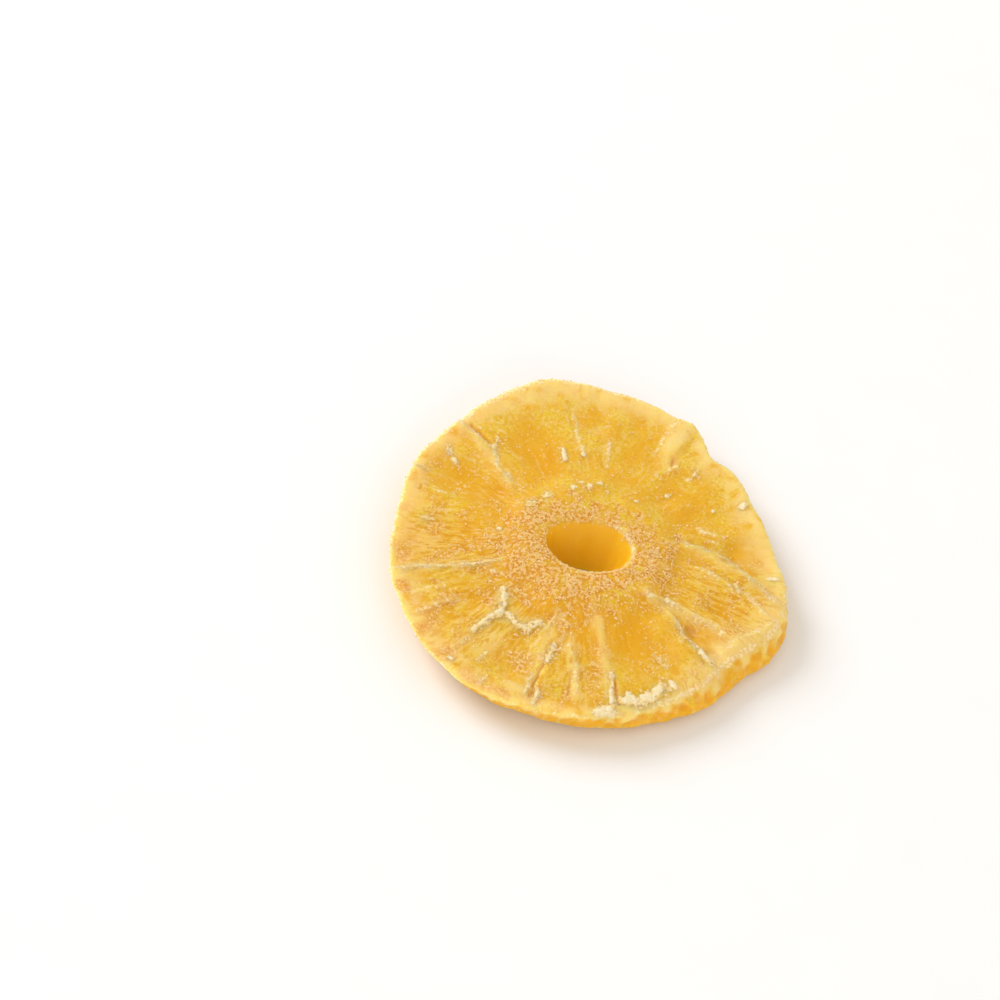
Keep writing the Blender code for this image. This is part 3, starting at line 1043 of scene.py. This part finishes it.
@dataclass(frozen=True)
class CandiedFlesh(Finish):
    """Pineapple flesh soaked in syrup and dried: translucent, fibrous and dusted."""

    name: str = "pineapple_flesh_candied_and_dried"
    pole: Point = (0.0, 0.0)
    flesh: str = "#e8c433"
    # Deep amber, for the flesh's clouding and for the painted shade of cells, grooves and the left
    # side.
    amber: str = "#e8ac12"
    # Painted light: the bright tone of the bore's wall.
    painted_bore_light: str = "#f5c11c"
    # Pale flesh for the mottle, and the painted light of the thin rim.
    pale_and_rim_glow: str = "#f2da8c"
    fibre_cream: str = "#f0cb6c"
    fleck_cream: str = "#f2d88c"
    # Painted shade in the fibres' grooves.
    groove: str = "#dfa012"
    rosy: str = "#d88b18"
    grain_cream: str = "#f1cc84"
    # Sugar frost, and the painted highlight on the lips.
    frost_and_lip_highlight: str = "#ebcf8a"
    white: str = "#fae6bc"
    # How much fibres are shortened along the radius, and how far they waver, in millimetres.
    shortened: float = 0.2
    wavering: float = 0.7

    def make(self) -> bpy.types.Material:
        """Build the material.

        Returns:
            The material, which reads the piece's own attributes and Object coordinates.
        """
        material, tree = self.sheet()
        source = add_node(tree, "ShaderNodeTexCoord").outputs["Object"]
        # Millimetres about the pole.
        about_pole = {"Scale": (1 / MM,) * 3, "Location": (-self.pole[0], -self.pole[1], 0)}
        place = add_node(
            tree, "ShaderNodeMapping", {"Vector": source, **about_pole}
        ).outputs["Vector"]
        shares = {
            name: add_node(tree, "ShaderNodeAttribute", attribute_name=name).outputs["Fac"]
            for name in ("pale_and_rim_glow", "deep", "bore", "dust", "frost_and_lip_highlight", "fibrous")
        }

        # Fibres run from core to rim: the direction from the pole, at mid radius, stands for
        # the way round, and the radius, much shortened, for the way along.
        flat = add_node(
            tree, "ShaderNodeVectorMath", {0: place, 1: (1.0, 1.0, 0.0)}, operation="MULTIPLY"
        ).outputs[0]
        length = add_node(
            tree, "ShaderNodeVectorMath", {0: flat}, operation="LENGTH"
        ).outputs["Value"]
        outward = add_node(
            tree, "ShaderNodeVectorMath", {0: flat}, operation="NORMALIZE"
        ).outputs[0]
        along = add_node(
            tree, "ShaderNodeMath", {0: length, 1: self.shortened}, operation="MULTIPLY"
        ).outputs[0]
        rise = add_node(tree, "ShaderNodeCombineXYZ", {"Z": along}).outputs[0]
        straight = add_node(
            tree,
            "ShaderNodeVectorMath",
            {0: outward, 1: (MID_RADIUS,) * 3, 2: rise},
            operation="MULTIPLY_ADD",
        ).outputs[0]
        waver = add_node(
            tree, "ShaderNodeTexNoise", {"Vector": place, "Scale": 0.35, "Detail": 1.0}
        ).outputs["Color"]
        radial = add_node(
            tree,
            "ShaderNodeVectorMath",
            {0: waver, 1: (self.wavering, self.wavering, 0.0), 2: straight},
            operation="MULTIPLY_ADD",
        ).outputs[0]

        # Each pattern: where it is read, its size in millimetres, its finer layers and its kind.
        patterns = {
            # Real fibres are about 0.2 mm apart; these are 0.5 mm, so that they show.
            "fibre": (radial, 0.5, 2.0, "FBM"),
            # Flecks of sugar caught between fibres.
            "fleck": (radial, 0.9, 2.0, "FBM"),
            # Thin cell walls that run outward and join.
            "vein": (radial, 2.4, 1.0, "RIDGED_MULTIFRACTAL"),
            # Clouding where the syrup took unevenly.
            "cloud": (place, 4.0, 3.0, "FBM"),
            "mottle": (place, 1.0, 2.0, "FBM"),
            # The finest dust is 0.1 mm; this grit is 0.35 mm, so that it shows.
            "grit": (place, 0.35, 1.0, "FBM"),
            "grain": (place, 0.6, 2.0, "FBM"),
        }
        noise = {
            name: add_node(
                tree,
                "ShaderNodeTexNoise",
                {"Vector": where, "Scale": 1 / size, "Detail": layers},
                noise_type=kind,
            ).outputs["Fac"]
            for name, (where, size, layers, kind) in patterns.items()
        }
        # Where sugar lies thicker, more of the grain stands clear of the syrup; the white rime
        # also follows the painted highlight on the lips.
        speck, rime = (
            add_node(
                tree,
                "ShaderNodeMath",
                {0: shares[name], 1: lift, 2: noise["grain"]},
                operation="MULTIPLY_ADD",
            ).outputs[0]
            for name, lift in (("dust", 0.22), ("frost_and_lip_highlight", 0.3))
        )

        # What tints the flesh, one over another: a pattern, the range of it that counts, the
        # most that it covers and its colour.
        layers = (
            (noise["mottle"], 0.48, 0.66, 0.45, self.pale_and_rim_glow),
            (noise["grain"], 0.54, 0.66, 0.45, self.fleck_cream),
            (noise["grain"], 0.48, 0.36, 0.45, self.rosy),
            (noise["cloud"], 0.44, 0.58, 0.55, self.amber),
            # Painted shade: deep amber in cells and grooves, round the core and on the left.
            (shares["deep"], 0.0, 1.0, 1.0, self.amber),
            # Partly painted light: the pale rim where the thin flesh lets light through.
            (shares["pale_and_rim_glow"], 0.0, 1.0, 0.8, self.pale_and_rim_glow),
            # Painted shade: the fibres' grooves, low in their bump, darkened.
            (noise["fibre"], 0.48, 0.38, shares["fibrous"], self.groove),
            (noise["fibre"], 0.52, 0.62, shares["fibrous"], self.fibre_cream),
            (noise["vein"], 0.75, 0.95, shares["fibrous"], self.fleck_cream),
            (noise["fleck"], 0.6, 0.72, 0.35, self.fleck_cream),
            (shares["dust"], 0.3, 1.0, 0.75, self.rosy),
            (speck, 0.66, 0.73, 0.9, self.grain_cream),
            # Frost, and painted highlight on the lips of the rim and hole.
            (shares["frost_and_lip_highlight"], 0.0, 0.9, 0.8, self.frost_and_lip_highlight),
            (rime, 0.72, 0.8, 0.8, self.white),
            # Painted light: the bore's wall brightened.
            (shares["bore"], 0.0, 1.0, 0.9, self.painted_bore_light),
        )
        colour = tinted(tree, self.flesh, layers, interpolation_type="SMOOTHSTEP")

        dull = add_node(
            tree, "ShaderNodeMath", {0: shares["dust"], 1: shares["frost_and_lip_highlight"]}, operation="MAXIMUM"
        ).outputs[0]
        roughness = add_node(
            tree, "ShaderNodeMapRange", {"Value": dull, "To Min": 0.4, "To Max": 0.75}
        ).outputs["Result"]
        bump = None
        # Each layer of relief: its pattern, its strength and its depth in millimetres.
        reliefs = (("fibre", 0.5, 0.2), ("grain", 0.5, 0.15), ("grit", 0.4, 0.08))
        for pattern, strength, depth in reliefs:
            inputs = {"Height": noise[pattern], "Strength": strength, "Distance": depth * MM}
            if bump:
                inputs["Normal"] = bump
            bump = add_node(tree, "ShaderNodeBump", inputs).outputs[0]
        skin = add_node(
            tree,
            "ShaderNodeBsdfPrincipled",
            {
                "Base Color": colour,
                "Roughness": roughness,
                "IOR": 1.46,
                "Specular IOR Level": 0.3,
                "Normal": bump,
                "Subsurface Weight": 1.0,
                "Subsurface Radius": (1.0, 0.75, 0.15),
                "Subsurface Scale": 3.0 * MM,
            },
        )
        add_node(tree, "ShaderNodeOutputMaterial", {"Surface": skin.outputs[0]})
        return material


@dataclass(frozen=True)
class SugarCrystal(Finish):
    """Sugar grown out of the syrup as it dried: small clear-to-white crystals that glint."""

    name: str = "sugar_grown_as_fine_crystals"
    clear: str = "#efba54"
    milky: str = "#fcdf9e"

    def make(self) -> bpy.types.Material:
        """Build the material: each crystal has its own milkiness."""
        material, tree = self.sheet()
        shade = add_node(tree, "ShaderNodeAttribute", attribute_name="shade").outputs["Fac"]
        colour = add_node(
            tree,
            "ShaderNodeMix",
            {SHARE: shade, FIRST: linear(self.clear), SECOND: linear(self.milky)},
            data_type="RGBA",
        ).outputs[MIXED]
        roughness = add_node(
            tree, "ShaderNodeMapRange", {"Value": shade, "To Min": 0.2, "To Max": 0.5}
        ).outputs["Result"]
        crystal = add_node(
            tree,
            "ShaderNodeBsdfPrincipled",
            {
                "Base Color": colour,
                "Roughness": roughness,
                "IOR": 1.54,
                "Subsurface Weight": 0.15,
                "Subsurface Radius": (1.0, 0.9, 0.7),
                "Subsurface Scale": 0.2 * MM,
            },
        )
        add_node(tree, "ShaderNodeOutputMaterial", {"Surface": crystal.outputs[0]})
        return material


@dataclass(frozen=True)
class SyrupCrust(Finish):
    """Syrup dried to an opaque crumbly crust: chalky, cream-white and dull."""

    name: str = "syrup_dried_to_white_crust"
    edge: str = "#f2c96c"
    cream: str = "#f8dea4"
    chalk: str = "#fdecc8"

    def make(self) -> bpy.types.Material:
        """Build the material: chalky, with creamier hollows some 0.5 mm across."""
        material, tree = self.sheet()
        source = add_node(tree, "ShaderNodeTexCoord").outputs["Object"]
        place = add_node(
            tree, "ShaderNodeMapping", {"Vector": source, "Scale": (1 / MM,) * 3}
        ).outputs["Vector"]
        pores = add_node(
            tree, "ShaderNodeTexNoise", {"Vector": place, "Scale": 1 / 0.5, "Detail": 3.0}
        ).outputs["Fac"]
        shade = add_node(tree, "ShaderNodeAttribute", attribute_name="shade").outputs["Fac"]
        layers = ((shade, 0.0, 0.7, shade, self.cream), (pores, 0.4, 0.6, shade, self.chalk))
        colour = tinted(tree, self.edge, layers)
        bump = add_node(
            tree, "ShaderNodeBump", {"Height": pores, "Strength": 0.5, "Distance": 0.15 * MM}
        ).outputs[0]
        crust = add_node(
            tree,
            "ShaderNodeBsdfPrincipled",
            {
                "Base Color": colour,
                "Roughness": 0.75,
                "Normal": bump,
                "Subsurface Weight": 0.3,
                "Subsurface Radius": (1.0, 0.8, 0.5),
                "Subsurface Scale": 0.4 * MM,
            },
        )
        add_node(tree, "ShaderNodeOutputMaterial", {"Surface": crust.outputs[0]})
        return material


@dataclass(frozen=True)
class MattePaper(Finish):
    """Heavy white studio paper, rolled smooth: dull, and slightly mottled up close."""

    name: str = "studio_paper_rolled_white"
    sheet_white: str = "#fdfdfd"
    mottle: str = "#f9f9f9"

    def make(self) -> bpy.types.Material:
        """Build the material: a faint mottle some 12 mm across."""
        material, tree = self.sheet()
        source = add_node(tree, "ShaderNodeTexCoord").outputs["Object"]
        mottle = add_node(
            tree, "ShaderNodeTexNoise", {"Vector": source, "Scale": 1 / (12 * MM), "Detail": 2.0}
        ).outputs["Fac"]
        colour = add_node(
            tree,
            "ShaderNodeMix",
            {SHARE: mottle, FIRST: linear(self.sheet_white), SECOND: linear(self.mottle)},
            data_type="RGBA",
        ).outputs[MIXED]
        paper = add_node(
            tree,
            "ShaderNodeBsdfPrincipled",
            {"Base Color": colour, "Roughness": 0.9, "Specular IOR Level": 0.2},
        )
        add_node(tree, "ShaderNodeOutputMaterial", {"Surface": paper.outputs[0]})
        return material


# --------------------------------------------------------------------------------------
# The ring and what lies on it
# --------------------------------------------------------------------------------------


@dataclass
class Skin:
    """The ring's finished surface, on which loose sugar is strewn, in frame millimetres."""

    places: Array
    triangles: Array
    shares: dict[str, Array]

    def strew(self, count: int, weights: Array, draw: np.random.Generator) -> tuple[Array, Array]:
        """Pick places on the surface.

        Args:
            count: How many.
            weights: How thickly they lie at each point of the surface.
            draw: The seeded source of chance.

        Returns:
            The places and the outward normals there, each of shape (count, 3).
        """
        corners = self.places[self.triangles]
        normals = np.cross(corners[:, 1] - corners[:, 0], corners[:, 2] - corners[:, 0])
        sizes = np.linalg.norm(normals, axis=1)
        chance = sizes * weights[self.triangles].mean(axis=1)
        chosen = draw.choice(len(sizes), count, p=chance / chance.sum())
        first, second = draw.random((2, count))
        over = first + second > 1
        first[over], second[over] = 1 - first[over], 1 - second[over]
        corner = corners[chosen]
        places = corner[:, 0] + first[:, None] * (corner[:, 1] - corner[:, 0])
        places += second[:, None] * (corner[:, 2] - corner[:, 0])
        return places, normals[chosen] / np.maximum(sizes[chosen, None], 1e-12)


@dataclass
class CandiedRing:
    """The flesh of the ring: a spun blank, dried into its lobes, cells and creases."""

    form: RingForm = field(default_factory=RingForm)
    blank: Blank = field(default_factory=Blank)
    # Where the pole stands in the frame, whose origin is the middle of the box.
    pole: Point = (-1.2505, -0.3418)
    foot: float = 0.0
    # The thicknesses of crust between which crumbs come to lie on it.
    crusted_from: Point = (-0.04, 0.1)

    def build(self) -> tuple[bpy.types.Object, Skin]:
        """Model, dry and colour the ring.

        Returns:
            The piece and its surface.
        """
        piece = self.blank.build("candied_ring")
        start = places_of(piece)
        angle, radius = polar(start)
        across = np.clip((radius - self.blank.hole) / self.blank.width, 0, 1)
        up = np.clip(start[:, 2] / self.blank.height, 0, 1)
        dried = self.form.dried(angle, across, up)
        dried[:, 2] = np.maximum(dried[:, 2], 0)
        shares = self.form.masks(dried, across, up)
        in_frame = dried + (*self.pole, self.foot)
        put_places(piece, in_frame * MM)
        for name, values in shares.items():
            paint(piece, name, values)
        smooth(piece)
        piece.data.materials.append(CandiedFlesh(pole=self.pole).make())
        piece.data.calc_loop_triangles()
        triangles = np.empty(len(piece.data.loop_triangles) * 3, np.int64)
        piece.data.loop_triangles.foreach_get("vertices", triangles)
        # Where loose sugar may lie, and where crust does, from just short of its thin edge.
        shares["face"] = ease(*SHOULDER, up)
        crust = self.form.crust(dried[:, :2])
        shares["crusted"] = ease(*self.crusted_from, crust) * ease(*FACE, up)
        return piece, Skin(in_frame, triangles.reshape(-1, 3), shares)


@dataclass
class CrustSheet:
    """Syrup dried on the ridges: a fine lattice laid over the face, kept where it is thick."""

    form: RingForm
    pole: Point
    spacing: float = 0.17
    half_side: float = 41.0
    thinnest: float = -0.1
    wall: float = 0.12
    proud: float = 0.02
    # The steepest flesh it clings to, as the upward part of the surface's normal.
    steepest: float = 0.2
    # The height that the lattice is let down from.
    above: float = 20.0
    # Between these thicknesses the crust turns from its thin edge's colour to white.
    whitening: Point = (-0.02, 0.16)

    @staticmethod
    def sound(kept: Array) -> Array:
        """Drop lattice points where flakes would meet only at a corner, or that bound no cell.

        Args:
            kept: Whether each point of the square lattice is kept, row by row.

        Returns:
            The same for the sound lattice.
        """
        side = math.isqrt(len(kept))
        kept = kept.reshape(side, side).copy()
        while True:
            whole = kept[1:, 1:] & kept[1:, :-1] & kept[:-1, 1:] & kept[:-1, :-1]
            whole = np.pad(whole, 1)
            a, b, c, d = whole[:-1, :-1], whole[:-1, 1:], whole[1:, :-1], whole[1:, 1:]
            pinched = (a & d & ~b & ~c) | (b & c & ~a & ~d)
            if not pinched.any():
                return (a | b | c | d).ravel()
            kept &= ~pinched

    def build(self, ring: bpy.types.Object, finish: Finish) -> bpy.types.Object:
        """Lay the lattice on the ring and cut away what is bare.

        Args:
            ring: The flesh that it lies on.
            finish: What it is made of.

        Returns:
            The piece, in closed flakes.
        """
        deselect_all()
        side = 2 * self.half_side
        cells = round(side / self.spacing)
        bpy.ops.mesh.primitive_grid_add(
            x_subdivisions=cells, y_subdivisions=cells, size=side, location=(0, 0, 0)
        )
        piece = named("syrup_crust")
        flat = places_of(piece)[:, :2]
        thickness = self.form.crust(flat)
        below = BVHTree.FromObject(ring, bpy.context.evaluated_depsgraph_get())
        places = np.zeros((len(flat), 3))
        kept = thickness > self.thinnest
        for number in np.flatnonzero(kept):
            start = Vector((*(flat[number] + self.pole) * MM, self.above * MM))
            hit, normal, _, _ = below.ray_cast(start, Vector((0, 0, -1)))
            if hit is None or normal.z < self.steepest:
                kept[number] = False
            else:
                places[number] = hit + normal * (thickness[number] + self.proud) * MM
        kept = self.sound(kept)
        bpy.ops.object.mode_set(mode="EDIT")
        work = bmesh.from_edit_mesh(piece.data)
        work.verts.ensure_lookup_table()
        for number, keep in enumerate(kept):
            work.verts[number].select_set(not keep)
        bmesh.update_edit_mesh(piece.data)
        bpy.ops.mesh.delete(type="VERT")
        bpy.ops.object.mode_set(mode="OBJECT")
        put_places(piece, places[kept])
        paint(piece, "shade", ease(*self.whitening, thickness[kept]))
        shell = piece.modifiers.new("thickness", "SOLIDIFY")
        shell.thickness = self.wall * MM
        shell.offset = -1
        bpy.ops.object.modifier_apply(modifier=shell.name)
        smooth(piece)
        piece.data.materials.append(finish.make())
        return piece


class Crumb(Enum):
    """The shapes that loose sugar takes."""

    CRYSTAL = "a blocky crystal with worn corners"
    LUMP = "a rough lump of dried syrup"


@dataclass
class Strewn:
    """Many small bits of one kind, joined to one mesh and bedded in the ring's surface."""

    name: str
    crumb: Crumb
    count: int
    smallest: float
    largest: float
    seed: int
    # How far each stands out of the flesh, as a share of its size, and how flat it lies.
    bedded: float = 0.2
    flatness: float = 0.6
    # How much commoner small ones are, how far they are stretched, and the dullest's shade.
    skew: float = 2.5
    stretch: float = 0.35
    dullest: float = 0.4

    def template(self) -> tuple[Array, Array]:
        """Model one bit about the origin, 1 across.

        Returns:
            Its points, and its triangles as numbers of those points.
        """
        deselect_all()
        crystal = self.crumb is Crumb.CRYSTAL
        if crystal:
            bpy.ops.mesh.primitive_cube_add(size=0.8, location=(0, 0, 0))
        else:
            bpy.ops.mesh.primitive_ico_sphere_add(subdivisions=1, radius=0.5, location=(0, 0, 0))
        piece = named("crumb_template")
        bpy.ops.object.mode_set(mode="EDIT")
        if crystal:
            bpy.ops.transform.resize(value=(1.0, 0.85, 1.15), center_override=(0, 0, 0))
        bpy.ops.transform.vertex_random(offset=0.06 if crystal else 0.12, seed=self.seed)
        bpy.ops.mesh.quads_convert_to_tris()
        bpy.ops.mesh.normals_make_consistent(inside=False)
        bpy.ops.object.mode_set(mode="OBJECT")
        settle(piece)
        points = places_of(piece)
        faces = np.array([tuple(face.vertices) for face in piece.data.polygons])
        bpy.data.objects.remove(piece)
        return points, faces

    def turns(self, draw: np.random.Generator) -> Array:
        """Draw an even spread of turns, as matrices of shape (count, 3, 3)."""
        quarter = draw.normal(size=(self.count, 4))
        w, x, y, z = (quarter / np.linalg.norm(quarter, axis=1, keepdims=True)).T
        rows = [
            [1 - 2 * (y * y + z * z), 2 * (x * y - z * w), 2 * (x * z + y * w)],
            [2 * (x * y + z * w), 1 - 2 * (x * x + z * z), 2 * (y * z - x * w)],
            [2 * (x * z - y * w), 2 * (y * z + x * w), 1 - 2 * (x * x + y * y)],
        ]
        return np.array(rows).transpose(2, 0, 1)

    def build(self, skin: Skin, weights: Array, finish: Finish) -> bpy.types.Object:
        """Strew the bits and join them.

        Args:
            skin: The surface that they lie on.
            weights: How thickly they lie at each point of it.
            finish: What they are made of.

        Returns:
            The piece.
        """
        draw = np.random.default_rng(self.seed)
        points, faces = self.template()
        places, normals = skin.strew(self.count, weights, draw)
        spread = self.largest - self.smallest
        sizes = self.smallest + spread * draw.random(self.count) ** self.skew
        stretch = 1 + self.stretch * draw.uniform(-1, 1, (self.count, 1, 3))
        bits = points[None] * sizes[:, None, None] * stretch
        bits = np.einsum("nij,nkj->nki", self.turns(draw), bits)
        rise = np.einsum("nkj,nj->nk", bits, normals)[..., None] * normals[:, None]
        bits += (self.flatness - 1) * rise
        bits += (places + normals * sizes[:, None] * self.bedded)[:, None]
        low, high = np.array(CAD_LOW) / MM, np.array(CAD_HIGH) / MM
        kept = ((bits > low) & (bits < high)).all(axis=(1, 2))
        bits = bits[kept]
        joined = np.arange(len(bits))[:, None, None] * len(points) + faces[None]
        mesh = bpy.data.meshes.new(self.name)
        mesh.from_pydata((bits.reshape(-1, 3) * MM).tolist(), [], joined.reshape(-1, 3).tolist())
        piece = bpy.data.objects.new(self.name, mesh)
        bpy.context.scene.collection.objects.link(piece)
        shades = draw.uniform(self.dullest, 1, len(bits))
        paint(piece, "shade", np.repeat(shades, len(points)))
        mesh.materials.append(finish.make())
        return piece


# --------------------------------------------------------------------------------------
# The studio
# --------------------------------------------------------------------------------------


@dataclass
class SoftLight:
    """A large soft box that looks at the ring."""

    name: str
    place: tuple[float, float, float]
    width: float
    power: float
    colour: str

    def hang(self) -> None:
        """Add the light, turned to the origin."""
        lamp = bpy.data.lights.new(self.name, "AREA")
        lamp.shape = "DISK"
        lamp.size = self.width
        lamp.energy = self.power
        lamp.color = linear(self.colour)[:3]
        holder = bpy.data.objects.new(self.name, lamp)
        bpy.context.scene.collection.objects.link(holder)
        holder.location = self.place
        holder.rotation_euler = Vector(self.place).to_track_quat("Z", "Y").to_euler()


@dataclass
class Studio:
    """White paper under a white room, a soft key from behind on the left, and the camera."""

    paper_width: float = 4.0
    # The paper lies this little under the ring, in metres, so that no faces share a plane.
    paper_drop: float = 0.03 * MM
    room: float = 0.71
    room_colour: str = "#fff9f1"
    camera_place: tuple[float, float, float] = (-0.00187, -0.28785, 0.34839)
    camera_aim: tuple[float, float, float] = (-0.01982, 0.00489, 0.0075)
    camera_roll: float = 11.35
    lens: float = 85.0
    sensor: float = 36.0
    key: SoftLight = field(
        default_factory=lambda: SoftLight("key", (-1.17, 0.51, 0.9), 0.9, 15.0, "#f3f7ff")
    )
    fill: SoftLight = field(
        default_factory=lambda: SoftLight("fill", (0.5, -1.1, 0.4), 1.0, 4.5, "#fff6ea")
    )

    def lay_paper(self) -> bpy.types.Object:
        """Lay the paper that the ring rests on."""
        deselect_all()
        bpy.ops.mesh.primitive_plane_add(size=self.paper_width, location=(0, 0, 0))
        paper = named("studio_paper")
        bpy.ops.object.mode_set(mode="EDIT")
        bpy.ops.transform.translate(value=(0, 0, CAD_LOW.z - self.paper_drop))
        bpy.ops.mesh.subdivide(number_cuts=4)
        bpy.ops.object.mode_set(mode="OBJECT")
        paper.data.materials.append(MattePaper().make())
        return paper

    def light(self) -> None:
        """Fill the room with white light, and hang the key and a weak fill."""
        world = bpy.data.worlds.new("white_room")
        world.use_nodes = True
        room = world.node_tree.nodes["Background"]
        room.inputs["Color"].default_value = linear(self.room_colour)
        room.inputs["Strength"].default_value = self.room
        bpy.context.scene.world = world
        self.key.hang()
        self.fill.hang()

    def stand_camera(self) -> None:
        """Stand the camera where it looks down on the ring, slightly rolled."""
        lens = bpy.data.cameras.new("camera")
        lens.lens = self.lens
        lens.sensor_width = self.sensor
        camera = bpy.data.objects.new("camera", lens)
        bpy.context.scene.collection.objects.link(camera)
        look = Vector(self.camera_aim) - Vector(self.camera_place)
        level = look.to_track_quat("-Z", "Y").to_matrix()
        rolled = level @ Matrix.Rotation(math.radians(self.camera_roll), 3, "Z")
        camera.location = self.camera_place
        camera.rotation_euler = rolled.to_euler()
        bpy.context.scene.camera = camera


def join_the_frame(piece: bpy.types.Object) -> None:
    """Let a piece ride with the part, and log how many faces it has."""
    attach(piece, BODY)
    log.info("%s: %d faces", piece.name, len(piece.data.polygons))


def main() -> None:
    """Build the ring and its sugar, then the studio round it."""
    logging.basicConfig(level=logging.INFO, format="%(name)s: %(message)s")
    bpy.context.scene.view_settings.view_transform = "Standard"

    candied = CandiedRing()
    ring, skin = candied.build()
    join_the_frame(ring)
    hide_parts(NODE)

    crust = CrustSheet(candied.form, candied.pole).build(ring, SyrupCrust())
    join_the_frame(crust)

    # Crystals lie where there is dust, a few elsewhere, and hardly any on pale flesh.
    shares = skin.shares
    stray, in_dust, dust_power, off_pale = 0.015, 1.6, 1.6, 0.8
    grains = Strewn("sugar_grains", Crumb.CRYSTAL, 4500, 0.12, 0.36, seed=5)
    grain_weights = shares["face"] * (stray + in_dust * shares["dust"] ** dust_power)
    grain_weights *= 1 - off_pale * shares["pale_and_rim_glow"]
    join_the_frame(grains.build(skin, grain_weights, SugarCrystal()))

    # Crumbs lie on the crust, a few on the frosted lips, and hardly any elsewhere.
    stray, on_lips = 0.003, 0.12
    crumbs = Strewn("syrup_crumbs", Crumb.LUMP, 2200, 0.16, 0.45, seed=11, bedded=0.25)
    crumb_weights = shares["face"] * (shares["crusted"] + on_lips * shares["frost_and_lip_highlight"] ** 2 + stray)
    join_the_frame(crumbs.build(skin, crumb_weights, SyrupCrust()))

    studio = Studio()
    studio.lay_paper()
    studio.light()
    studio.stand_camera()

    bpy.context.view_layer.update()


if __name__ == "__main__":
    main()
